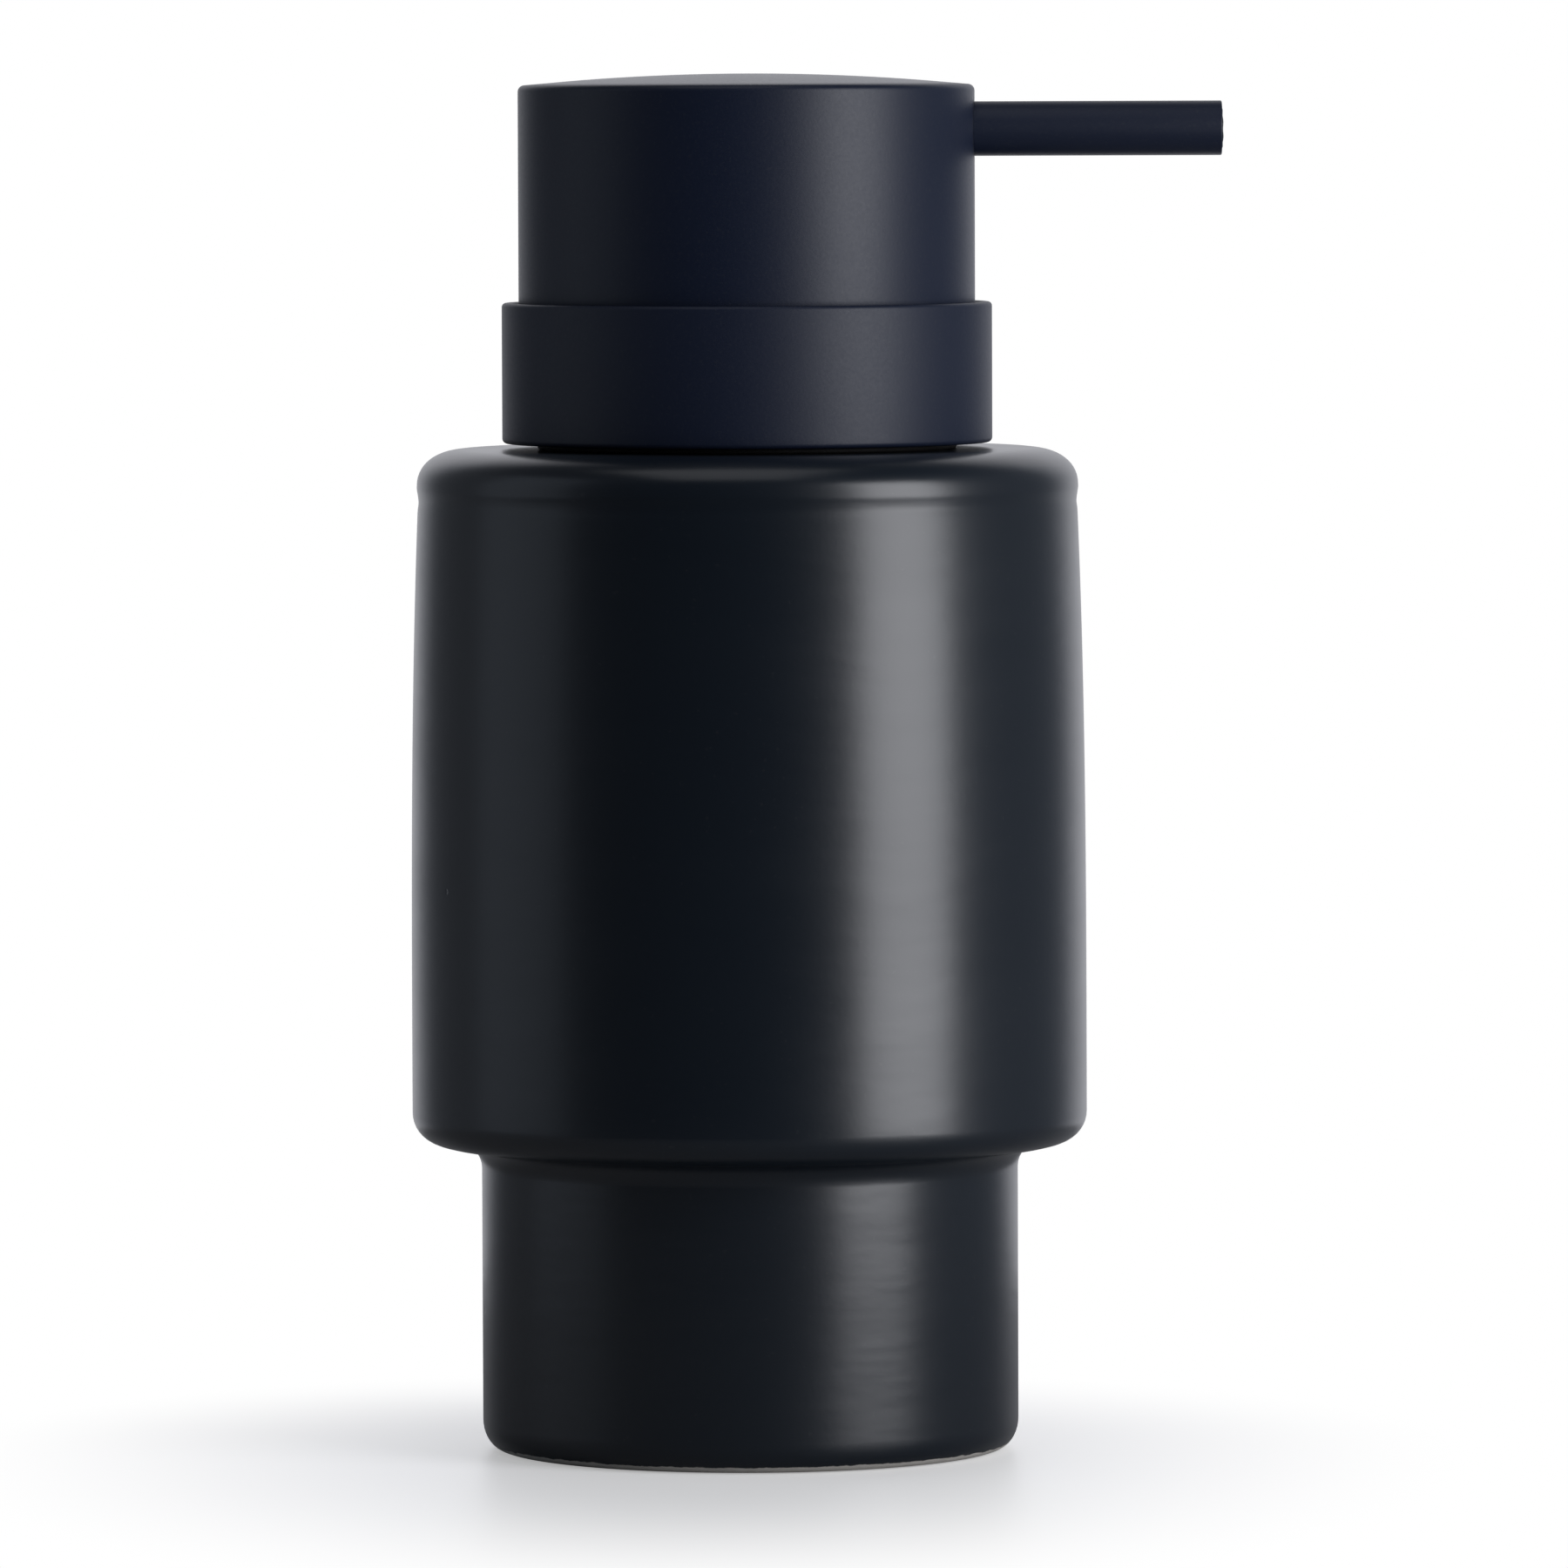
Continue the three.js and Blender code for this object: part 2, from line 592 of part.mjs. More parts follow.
// Plastic tube inside the spout, the only part of it that the soap touches.
function spoutLiner() {
  const length = SPOUT_REACH + LINER_PROUD - LINER_START;
  const tube = ring(linerRadius - LINER_WALL, linerRadius, length, SMALL_SIDES);
  return part('spout_liner', DARK_PLASTIC, alongX(tube), spoutLevel, LINER_START);
}

const bottle = assembly(ceramicBottle(), neckInsert(), neckGasket());
const pump = assembly(pumpHousing(), housingGasket(), guideBush(), stemWiper(), valveCage(),
  dipTube(), returnSpring(), inletBall());
const stem = assembly(pumpStem(), stemPlug(), pistonSeal());
const closure = assembly(collarRing(), closureNut());
const head = assembly(capShell(), actuatorCore(), spoutTube(), spoutLiner(), spoutSeal());

export default new THREE.Group().add(bottle, pump, stem, closure, head);
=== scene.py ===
# %% [markdown]
# # A stoneware soap dispenser with a powder-coated pump
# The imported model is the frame: it says where every piece is and how it moves. This lesson
# rebuilds the pieces that show as smooth meshes in the same places, gives each a finish made
# of shader nodes, and lights them like a small product on a white table.

# %% Load the frame
import json
import math

import bmesh
import bpy
from mathutils import Matrix, Vector


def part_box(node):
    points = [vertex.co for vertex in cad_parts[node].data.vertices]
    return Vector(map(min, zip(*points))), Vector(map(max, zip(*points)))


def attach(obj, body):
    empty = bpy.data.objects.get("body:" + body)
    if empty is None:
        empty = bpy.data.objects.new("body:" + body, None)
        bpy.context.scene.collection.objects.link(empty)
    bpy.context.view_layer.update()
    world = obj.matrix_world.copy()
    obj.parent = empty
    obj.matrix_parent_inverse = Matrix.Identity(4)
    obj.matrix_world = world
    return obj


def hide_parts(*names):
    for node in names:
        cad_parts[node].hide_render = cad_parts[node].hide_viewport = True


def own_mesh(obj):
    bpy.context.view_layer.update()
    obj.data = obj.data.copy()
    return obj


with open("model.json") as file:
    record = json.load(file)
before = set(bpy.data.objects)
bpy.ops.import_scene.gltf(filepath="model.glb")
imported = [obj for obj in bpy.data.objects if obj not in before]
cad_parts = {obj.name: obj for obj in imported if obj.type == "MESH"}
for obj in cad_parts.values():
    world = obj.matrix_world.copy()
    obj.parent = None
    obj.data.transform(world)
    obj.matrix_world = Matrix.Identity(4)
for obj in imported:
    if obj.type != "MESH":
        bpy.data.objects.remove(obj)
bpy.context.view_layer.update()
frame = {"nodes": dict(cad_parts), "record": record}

MM = 0.001

# %% [markdown]
# ## Camera
# A long lens from about a metre and a half keeps the cylinders' sides nearly parallel. The eye
# is level with the cap's rim, so the cap's top is only just seen and the foot is seen a little
# from above. The camera is turned by a fifth of a degree, as a hand-set tripod is.

# %% Camera
EYE_DISTANCE = 1.5
EYE_HEIGHT = 0.1614
AIM = Vector((0.0042, 0, 0.0788))
LENS = 291
ROLL = -0.2


def place_camera():
    data = bpy.data.cameras.new("product_lens")
    data.lens = LENS
    data.sensor_width = 36
    data.clip_start = 0.01
    data.clip_end = 50
    camera = bpy.data.objects.new("product_camera", data)
    camera.location = (AIM.x, -EYE_DISTANCE, EYE_HEIGHT)
    look = (AIM - camera.location).to_track_quat("-Z", "Y").to_matrix().to_4x4()
    camera.matrix_world = (Matrix.Translation(camera.location) @ look
                           @ Matrix.Rotation(math.radians(ROLL), 4, "Z"))
    bpy.context.collection.objects.link(camera)
    bpy.context.scene.camera = camera
    return camera


print("camera at", place_camera().location)

# %% [markdown]
# ## Sums on sockets
# A finish is mostly arithmetic: a mask times a colour change, plus a little noise. `Field`
# wraps one output socket, so that the sums below read like ordinary Python. Each operator adds
# one Math node. Everything that isn't a sum comes from `Shader.node`, which takes the node's
# type, its settings and what goes into its inputs.

# %% Field and Shader
class Field:
    """One output socket of a node tree, with arithmetic."""

    def __init__(self, shader, socket):
        self.shader = shader
        self.socket = socket

    def math(self, operation, *others):
        inputs = dict(enumerate((self, *others)))
        return self.shader.node("ShaderNodeMath", {"operation": operation}, inputs)

    def reflected(self, operation, other):
        return self.shader.node("ShaderNodeMath", {"operation": operation}, {0: other, 1: self})

    def __add__(self, other):
        return self.math("ADD", other)

    __radd__ = __add__

    def __sub__(self, other):
        return self.math("SUBTRACT", other)

    def __rsub__(self, other):
        return self.reflected("SUBTRACT", other)

    def __mul__(self, other):
        return self.math("MULTIPLY", other)

    __rmul__ = __mul__

    def __truediv__(self, other):
        return self.math("DIVIDE", other)

    def __rtruediv__(self, other):
        return self.reflected("DIVIDE", other)

    def __pow__(self, other):
        return self.math("POWER", other)

    def step(self, low, high):
        """0 below low, 1 above high, and a soft S between them."""
        inputs = {"Value": self, "From Min": low, "From Max": high}
        return self.shader.node("ShaderNodeMapRange", {"interpolation_type": "SMOOTHSTEP"}, inputs)

    def blend(self, dark, light):
        """The colour dark where this is 0 and light where it is 1."""
        settings = {"data_type": "RGBA"}
        return self.shader.node("ShaderNodeMix", settings, {0: self, 6: dark, 7: light}, out=2)


class Shader:
    """The node tree of a material or of the world."""

    def __init__(self, owner):
        owner.use_nodes = True
        self.tree = owner.node_tree
        self.tree.nodes.clear()

    def node(self, kind, settings=None, inputs=None, out=0):
        made = self.tree.nodes.new(kind)
        for name, value in (settings or {}).items():
            setattr(made, name, value)
        for name, value in (inputs or {}).items():
            if isinstance(value, Field):
                self.tree.links.new(value.socket, made.inputs[name])
            elif isinstance(value, tuple) and len(value) == 3 and made.inputs[name].type == "RGBA":
                made.inputs[name].default_value = (*value, 1)
            else:
                made.inputs[name].default_value = value
        return Field(self, made.outputs[out]) if made.outputs else None

    def place(self):
        """Position on the object at rest, in metres, as a vector and as x, y and z."""
        where = self.node("ShaderNodeTexCoord", out="Object")
        apart = self.node("ShaderNodeSeparateXYZ", None, {0: where})
        nodes = apart.socket.node
        return where, *(Field(self, nodes.outputs[axis]) for axis in "XYZ")

    def noise(self, where, scale, detail=2, roughness=0.5):
        inputs = {"Vector": where, "Scale": scale, "Detail": detail, "Roughness": roughness}
        return self.node("ShaderNodeTexNoise", None, inputs)

    def bump(self, height):
        """The surface's normal once a height in metres is laid on it."""
        inputs = {"Height": height, "Strength": 1.0, "Distance": 1.0}
        return self.node("ShaderNodeBump", None, inputs)

    def surface(self, **inputs):
        named = {name.replace("_", " "): value for name, value in inputs.items()}
        shade = self.node("ShaderNodeBsdfPrincipled", None, named)
        self.node("ShaderNodeOutputMaterial", None, {0: shade})


def new_finish(name):
    finish = bpy.data.materials.new(name)
    return finish, Shader(finish)


# %% [markdown]
# ## The glaze
# The bottle is dipped in a matt black glaze that dries with a silky surface. Up close it
# isn't even: it has fine grains, rare pinholes where gas came out in the kiln, and faint rings
# from the wheel. It stops just above the foot, where the bare clay has to stand on the kiln
# shelf, and its edge there is a little ragged.
#
# The height on the bottle decides between clay and glaze, and noise shakes that edge. The rings
# are noise that is stretched sideways, so they lie nearly level and never repeat exactly. On
# the foot the glaze is a touch drier. The roughness changes only a little from place to place,
# because a lamp's reflection shows every step in it.

# %% Glaze material
GLAZE = (0.005, 0.0092, 0.016)
GLAZE_CLOUD = (0.007, 0.0125, 0.0195)
GLAZE_GRAIN = (0.022, 0.025, 0.03)
GLAZE_ROUGHNESS = 0.254
BARE_CLAY = (0.8, 0.77, 0.72)
DARK_CLAY = (0.62, 0.59, 0.54)
GLAZE_EDGE = (0.95 * MM, 1.07 * MM)
EDGE_RAGGED = 0.5 * MM
THIN_GLAZE = (34 * MM, 38 * MM)


def glazed_stoneware():
    finish, s = new_finish("glazed_stoneware")
    where, x, y, z = s.place()
    ragged = s.noise(where, 700, detail=3) * EDGE_RAGGED
    glazed = (z + ragged).step(*GLAZE_EDGE)

    grain = s.noise(where, 1700, detail=1)
    cloud = s.noise(where, 60, detail=3)
    specks = s.noise(where, 1500, detail=1).step(0.72, 0.78)
    black = (specks * 0.5).blend(GLAZE, GLAZE_GRAIN)
    black = (cloud * 0.35).blend(black, GLAZE_CLOUD)
    clay = s.noise(where, 900, detail=4).blend(BARE_CLAY, DARK_CLAY)

    squeezed = s.node("ShaderNodeCombineXYZ", None, {0: x * 30, 1: y * 30, 2: z * 110})
    rings = s.noise(squeezed, 1, detail=3, roughness=0.6)
    pits = s.node("ShaderNodeTexVoronoi", None, {"Vector": where, "Scale": 75}, out="Distance")
    pinholes = 1 - pits.step(0.015, 0.035)

    height = rings * (0.11 * MM) + grain * (0.004 * MM) + cloud * (0.02 * MM)
    height = height - pinholes * (0.05 * MM) * glazed + glazed * (0.06 * MM)
    thin = 1 - z.step(*THIN_GLAZE)
    dry = thin * 0.012 + (1 - glazed) * 0.4
    s.surface(Base_Color=glazed.blend(clay, black),
              Roughness=dry + (cloud * 0.02 + rings * 0.06 + GLAZE_ROUGHNESS),
              IOR=1.62,
              Normal=s.bump(height))
    return finish


# %% [markdown]
# ## The powder coat
# The collar, cap and spout are metal under a baked blue-black powder coat. Powder melts into
# a skin with a very fine orange peel, which spreads a lamp's reflection wider than the glaze
# does. It is paint, so the surface isn't metallic and its reflections have no tint. One coat
# covers all three, but the collar came out a little duller, and the top of the cap, which
# every hand presses, is a little smoother. Their heights on the model tell them apart.

# %% Powder coat material
COAT = (0.0045, 0.01, 0.03)
COAT_DRIFT = (0.006, 0.012, 0.034)
COAT_FLECK = (0.018, 0.023, 0.038)
COAT_ROUGHNESS = 0.4
DOME_RISE = 1.3
COLLAR_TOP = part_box("collar_ring")[1].z
CAP_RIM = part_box("cap_shell")[1].z - DOME_RISE * MM


def powder_coat():
    finish, s = new_finish("powder_coat")
    where, _, _, z = s.place()
    peel = s.noise(where, 2600, detail=2)
    drift = s.noise(where, 90, detail=2)
    flecks = s.noise(where, 3000, detail=1).step(0.56, 0.76)
    colour = (flecks * 0.45).blend(COAT, COAT_FLECK)
    height = peel * (0.008 * MM) + drift * (0.02 * MM)
    collar = 1 - z.step(COLLAR_TOP, COLLAR_TOP + 1 * MM)
    pressed = z.step(CAP_RIM, CAP_RIM + 0.2 * MM)
    s.surface(Base_Color=(drift * 0.3).blend(colour, COAT_DRIFT),
              Roughness=peel * 0.1 + COAT_ROUGHNESS + collar * 0.05 - pressed * 0.1,
              Normal=s.bump(height))
    return finish


# %% [markdown]
# ## Plastics, rubber and steel
# The working parts hide in the bottle and show when the pump is lifted out. Moulded plastic
# has a faint grain from its mould, the natural polyethylene of the suction tube lets some light
# through, and the rubbers are soft and dull. One function makes them all.

# %% Working part materials
def moulded(name, colour, roughness, depth=0.006, **more):
    """Plastic or rubber with a mould's grain of a depth in millimetres, and faint flow marks."""
    finish, s = new_finish(name)
    where = s.place()[0]
    mould = s.noise(where, 1800, detail=2)
    flow = s.noise(where, 120, detail=2)
    worn = tuple(0.85 * c for c in colour)
    s.surface(Base_Color=(flow * 0.6).blend(colour, worn),
              Roughness=mould * 0.12 + (roughness - 0.06),
              Normal=s.bump(mould * (depth * MM)),
              **more)
    return finish


def spring_steel():
    finish, s = new_finish("spring_steel")
    where = s.place()[0]
    drawn = s.noise(where, 2500, detail=3)
    s.surface(Base_Color=drawn.blend((0.5, 0.5, 0.51), (0.62, 0.62, 0.63)),
              Roughness=drawn * 0.15 + 0.2,
              Metallic=1.0,
              Normal=s.bump(drawn * (0.002 * MM)))
    return finish


FINISHES = {
    "stoneware": glazed_stoneware(),
    "coated_metal": powder_coat(),
    "white_plastic": moulded("white_plastic", (0.78, 0.78, 0.75), 0.42),
    "dark_plastic": moulded("dark_plastic", (0.02, 0.021, 0.023), 0.45),
    "clear_plastic": moulded("natural_plastic", (0.72, 0.75, 0.74), 0.3,
                             Transmission_Weight=0.35, IOR=1.5),
    "silicone": moulded("grey_silicone", (0.45, 0.46, 0.45), 0.55, depth=0.01),
    "black_rubber": moulded("black_rubber", (0.012, 0.012, 0.012), 0.7, depth=0.015),
    "steel": spring_steel(),
}
print("finishes:", ", ".join(FINISHES))

# %% [markdown]
# ## Turning
# Nearly every piece of a dispenser is round, and was thrown, turned, drawn or moulded about
# one axis. So one helper does what a lathe does: it takes a half section and spins it. The
# section closes on itself or ends on the axis, so the mesh is one closed skin. Points of an
# arc come from a formula, and faces are smooth except at corners sharper than thirty degrees.

# %% Lathe helpers
ROUND = 160
SMALL_ROUND = 64
CORNER = math.radians(30)
TOUCHING = 1e-5
ON_AXIS = 1e-6


def arc(x, y, r, start, end, steps=6, ry=None):
    """Points of an arc from one angle to another, in degrees; ry makes it elliptical."""
    ry = r if ry is None else ry
    angles = (math.radians(start + (end - start) * i / steps) for i in range(steps + 1))
    return [(x + r * math.cos(t), y + ry * math.sin(t)) for t in angles]


def without_repeats(section):
    """The section without points that fall on the one before."""
    kept = [section[0]]
    for point in section[1:]:
        if math.dist(point, kept[-1]) > TOUCHING:
            kept.append(point)
    return kept


def spin(mesh, section, sides, base):
    """Adds the solid of revolution of a section in millimetres, standing at base in metres."""
    section = without_repeats(section)
    closed = math.dist(section[0], section[-1]) < TOUCHING
    if closed:
        section = section[:-1]
    rings = []
    for r, z in section:
        count = 1 if r < ON_AXIS else sides
        turn = [2 * math.pi * i / sides for i in range(count)]
        rings.append([mesh.verts.new((base.x + r * MM * math.cos(t),
                                      base.y + r * MM * math.sin(t),
                                      base.z + z * MM)) for t in turn])
    pairs = list(zip(rings, rings[1:]))
    if closed:
        pairs.append((rings[-1], rings[0]))
    for low, high in pairs:
        for i in range(sides):
            j = (i + 1) % sides
            corners = [low[i % len(low)], low[j % len(low)], high[j % len(high)], high[i % len(high)]]
            mesh.faces.new(list(dict.fromkeys(corners)))


def to_object(name, mesh, slot):
    """Makes a bmesh into an object with smooth faces, sharp corners and its slot's finish."""
    bmesh.ops.recalc_face_normals(mesh, faces=mesh.faces)
    for face in mesh.faces:
        face.smooth = True
    for edge in mesh.edges:
        edge.smooth = edge.calc_face_angle(0) < CORNER
    data = bpy.data.meshes.new(name)
    mesh.to_mesh(data)
    mesh.free()
    piece = bpy.data.objects.new(name, data)
    piece.data.materials.append(FINISHES[slot])
    bpy.context.collection.objects.link(piece)
    return piece


def turned(name, section, slot, base=Vector(), sides=ROUND):
    """A turned piece, standing on the frame's origin unless a base is given."""
    mesh = bmesh.new()
    spin(mesh, section, sides, base)
    return to_object(name, mesh, slot)


def stands_for(piece, node, body):
    """The piece takes a node's place on a body."""
    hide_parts(node)
    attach(piece, body)
    print(piece.name, "has", len(piece.data.polygons), "faces")
    return piece


def span(node):
    """Lowest point, highest point, and radius about the axis of a node, in millimetres."""
    low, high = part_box(node)
    return low.z / MM, high.z / MM, max(high.x, high.y) / MM


# %% [markdown]
# ## The bottle
# A hollow stoneware bottle: a foot, a wider body that overhangs it, and a flat shoulder with
# the mouth in its middle. The side isn't straight. It draws in slowly towards the top, has a
# shallow groove and a soft bead just below the shoulder, and rolls over in a corner that is
# wider than it is high and a little squarer than an ellipse. The bead stands a fifth of a
# millimetre proud and the groove is shallower still, but a lamp's long reflection breaks there
# and the outline shows it, so they are real geometry and not only bump. The section is drawn
# and turned, because each of those curves then has a formula and a named size.

# %% Bottle shape
FOOT_RADIUS = 31.8
FOOT_CORNER = (2.5, 3.5)
STEP_HEIGHT = 36.4
STEP_FILLET = 3.0
BODY_CORNER = 3.6
SHOULDER_CORNER = (5.6, 4.3)
CORNER_POWER = 2.15
SIDE_TAPER = 0.93
SIDE_START = 42.4
SIDE_LENGTH = 68.5
BEAD = (0.21, 114.2, 0.85)
GROOVE = (-0.08, 112.3, 0.6)
FINE_FROM = 109.0
COARSE_STEPS = 24
FINE_STEPS = 20
MOUTH_EDGE = 0.6
BOTTLE_FLOOR = 5.0
INNER_RADIUS = 36.0
INNER_FOOT = 27.3
INNER_STEP = 40.9
ROOF = 5.0
INNER_FILLET = 4.0
THREAD_STAND = 1.1
CLEARANCE = 0.3
_, SHOULDER, BODY_RADIUS = span("ceramic_bottle")
MOUTH = span("neck_insert")[2] - THREAD_STAND + CLEARANCE


def bell(z, size, middle, width):
    """A smooth swelling of a size, centred at a height."""
    return size * math.exp(-(((z - middle) / width) ** 2))


def side_radius(z):
    drawn_in = SIDE_TAPER * max(0, (z - SIDE_START) / SIDE_LENGTH) ** 3
    return BODY_RADIUS - drawn_in + bell(z, *BEAD) + bell(z, *GROOVE)


def rolled_corner(x, z, width, height, power, steps=14):
    """A quarter of a superellipse: an ellipse where power is 2, and squarer above that."""
    angles = (math.pi / 2 * i / steps for i in range(steps + 1))
    return [(x + width * math.cos(t) ** (2 / power), z + height * math.sin(t) ** (2 / power))
            for t in angles]


def bottle_section():
    corner_start = SHOULDER - SHOULDER_CORNER[1]
    side_start = STEP_HEIGHT + BODY_CORNER
    coarse = [side_start + (FINE_FROM - side_start) * i / COARSE_STEPS
              for i in range(1, COARSE_STEPS + 1)]
    fine = [FINE_FROM + (corner_start - FINE_FROM) * i / FINE_STEPS
            for i in range(1, FINE_STEPS + 1)]
    flat_edge = side_radius(corner_start) - SHOULDER_CORNER[0]
    roof = SHOULDER - ROOF
    return [
        (0, 0),
        *arc(FOOT_RADIUS - FOOT_CORNER[0], FOOT_CORNER[1], FOOT_CORNER[0], -90, 0, 10,
             ry=FOOT_CORNER[1]),
        *arc(FOOT_RADIUS + STEP_FILLET, STEP_HEIGHT - STEP_FILLET, STEP_FILLET, 180, 90, 8),
        *arc(BODY_RADIUS - BODY_CORNER, side_start, BODY_CORNER, -90, 0, 10),
        *((side_radius(z), z) for z in coarse + fine),
        *rolled_corner(flat_edge, corner_start, *SHOULDER_CORNER, CORNER_POWER),
        *arc(MOUTH + MOUTH_EDGE, SHOULDER - MOUTH_EDGE, MOUTH_EDGE, 90, 180, 4),
        (MOUTH, roof),
        *arc(INNER_RADIUS - INNER_FILLET, roof - INNER_FILLET, INNER_FILLET, 90, 0, 4),
        *arc(INNER_RADIUS - INNER_FILLET, INNER_STEP + INNER_FILLET, INNER_FILLET, 0, -90, 4),
        *arc(INNER_FOOT + STEP_FILLET, INNER_STEP - STEP_FILLET, STEP_FILLET, 90, 180, 4),
        *arc(INNER_FOOT - INNER_FILLET, BOTTLE_FLOOR + INNER_FILLET, INNER_FILLET, 0, -90, 4),
        (0, BOTTLE_FLOOR),
    ]


BOTTLE_SIDES = 224
bottle = turned("stoneware_bottle", bottle_section(), "stoneware", sides=BOTTLE_SIDES)
stands_for(bottle, "ceramic_bottle", "bottle")

# %% [markdown]
# ## Collar
# The collar and the cap are two drawn metal cups. The collar is a ring with a floor, open at
# the top, and the cap slides down into it. Its outer edges are rounded by about half a
# millimetre, which is enough to catch a thin line of light. It is turned, with the edges in
# the section rather than in a bevel modifier, so that each edge has its own size.

# %% Collar
METAL_EDGE = 0.38
COLLAR_EDGES = (0.6, 0.5)
COLLAR_WALL = 1.3
COLLAR_FLOOR = 1.4


def collar_section():
    bottom, top, radius = span("collar_ring")
    hole = span("neck_insert")[2] + 0.6
    bore = radius - COLLAR_WALL
    edge = METAL_EDGE
    low_edge, high_edge = COLLAR_EDGES
    return [
        (hole, bottom),
        *arc(radius - low_edge, bottom + low_edge, low_edge, -90, 0),
        *arc(radius - high_edge, top - high_edge, high_edge, 0, 90),
        *arc(bore + edge, top - edge, edge, 90, 180),
        *arc(bore - edge, bottom + COLLAR_FLOOR + edge, edge, 0, -90),
        (hole, bottom + COLLAR_FLOOR),
        (hole, bottom),
    ]


stands_for(turned("collar_cup", collar_section(), "coated_metal"), "collar_ring", "closure")

# %% [markdown]
# ## Cap
# The cap is a thinner cup, upside down. Its top is a dome that rises little more than a
# millimetre, so from the side it looks nearly flat, and its rim is the softest edge of the
# metal. The rim's arc stops a few degrees short of level, where the dome takes over.

# %% Cap
CAP_WALL = 1.0
CAP_ROOF = 1.2
RIM_EDGE = 0.8
RIM_TURN = 84
DOME_STEPS = 12


def cap_section():
    bottom, top, radius = span("cap_shell")
    bore = radius - CAP_WALL
    edge = METAL_EDGE
    rim = top - DOME_RISE
    shares = [1 - i / DOME_STEPS for i in range(1, DOME_STEPS + 1)]
    dome = [(bore * share, rim + DOME_RISE * (1 - share ** 2)) for share in shares]
    return [
        (0, top - CAP_ROOF),
        *((r, z - CAP_ROOF) for r, z in reversed(dome[:-1])),
        (bore, rim - CAP_ROOF),
        *arc(bore + edge / 2, bottom + edge / 2, edge / 2, 180, 270, 3),
        *arc(radius - edge, bottom + edge, edge, -90, 0),
        *arc(radius - RIM_EDGE, rim - RIM_EDGE, RIM_EDGE, 0, RIM_TURN),
        *dome,
    ]


# %% [markdown]
# The spout leaves the cap through a round hole. A Boolean modifier cuts it with a bar that is
# used only as a drill, and the modifier is applied, so that the hole is real in the mesh. The
# barrel's vent is drilled in the same way later, and the neck's thread is joined on.

# %% Spout hole in the cap
SPOUT_DRILL = 20.0


def combined(piece, other, operation):
    """The piece after other is cut from it or joined to it. The other object is used up."""
    step = piece.modifiers.new(other.name, "BOOLEAN")
    step.object = other
    step.operation = operation
    step.solver = "EXACT"
    graph = bpy.context.evaluated_depsgraph_get()
    data = bpy.data.meshes.new_from_object(piece.evaluated_get(graph))
    piece.modifiers.clear()
    piece.data = data
    bpy.data.objects.remove(other)
    return piece


def drilled(piece, middle, across, radius, depth, slot, sides):
    """The piece with a round hole, from a bar that is laid over by a turn about an axis."""
    mesh = bmesh.new()
    laid = Matrix.Translation(middle) @ Matrix.Rotation(math.pi / 2, 4, across)
    bmesh.ops.create_cone(mesh, cap_ends=True, segments=sides, radius1=radius, radius2=radius,
                          depth=depth, matrix=laid)
    return combined(piece, to_object("drill", mesh, slot), "DIFFERENCE")


def drilled_for_spout(cap):
    low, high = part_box("spout_tube")
    radius = (high.y - low.y) / 2 + CLEARANCE * MM
    middle = Vector((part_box("cap_shell")[1].y, 0, (low.z + high.z) / 2))
    return drilled(cap, middle, "Y", radius, SPOUT_DRILL * MM, "coated_metal", SMALL_ROUND)


cap = turned("pressed_cap", cap_section(), "coated_metal")
stands_for(drilled_for_spout(cap), "cap_shell", "head")

# %% [markdown]
# ## Spout
# A straight coated tube with a plain cut end, and inside it a plastic liner that carries the
# soap. The liner ends a hair beyond the metal, where its cut shows as a slightly uneven rim.
# Both are turned upright and then laid along X.

# %% Spout tube and liner
SPOUT_WALL = 0.475
SPOUT_EDGE = 0.16
LINER_WALL = 0.85
LINER_EDGE = 0.12
CUT_ZONE = 0.3
CUT_RAGGED = 0.06


def laid_along_x(node, wall, edge):
    """The mesh of a tube in a node's place, with rounded edges at the far end."""
    low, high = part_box(node)
    length = (high.x - low.x) / MM
    outer = (high.y - low.y) / 2 / MM
    bore = outer - wall
    section = [
        (bore, 0),
        (outer, 0),
        *arc(outer - edge, length - edge, edge, 0, 90, 4),
        *arc(bore + edge, length - edge, edge, 90, 180, 4),
        (bore, 0),
    ]
    mesh = bmesh.new()
    spin(mesh, section, SMALL_ROUND, Vector())
    middle = Vector((low.x, 0, (low.z + high.z) / 2))
    mesh.transform(Matrix.Translation(middle) @ Matrix.Rotation(math.pi / 2, 4, "Y"))
    return mesh


def spout_tube():
    mesh = laid_along_x("spout_tube", SPOUT_WALL, SPOUT_EDGE)
    return to_object("coated_spout", mesh, "coated_metal")


def spout_liner():
    """The liner's far end is pushed in and out a little round its rim, like a knife cut."""
    mesh = laid_along_x("spout_liner", LINER_WALL, LINER_EDGE)
    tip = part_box("spout_liner")[1]
    axis = tip.z - tip.y
    for vert in mesh.verts:
        if vert.co.x > tip.x - CUT_ZONE * MM:
            turn = math.atan2(vert.co.z - axis, vert.co.y)
            vert.co.x -= CUT_RAGGED * MM * (1 + math.sin(3 * turn) * math.cos(5 * turn + 1))
    return to_object("spout_inner_tube", mesh, "dark_plastic")


stands_for(spout_tube(), "spout_tube", "head")
stands_for(spout_liner(), "spout_liner", "head")

# %% [markdown]
# ## Neck
# Under the collar, a plastic bush is glued into the bottle's mouth. A round-backed thread
# climbs once and a bit round it, and the nut in the collar grips that. The bush is turned, and
# the thread is a round bar swept along a helix and joined on, so that its ends can run out.

# %% Thread on the neck
NECK_WALL = 2.0
THREAD_BEAD = 0.9
THREAD_PITCH = 3.2
THREAD_TURNS = 1.3
THREAD_STEPS = 90
THREAD_RUN_OUT = 0.12
THREAD_TIP = 0.15
BEAD_SIDES = 12
MOULDED_EDGE = 0.3


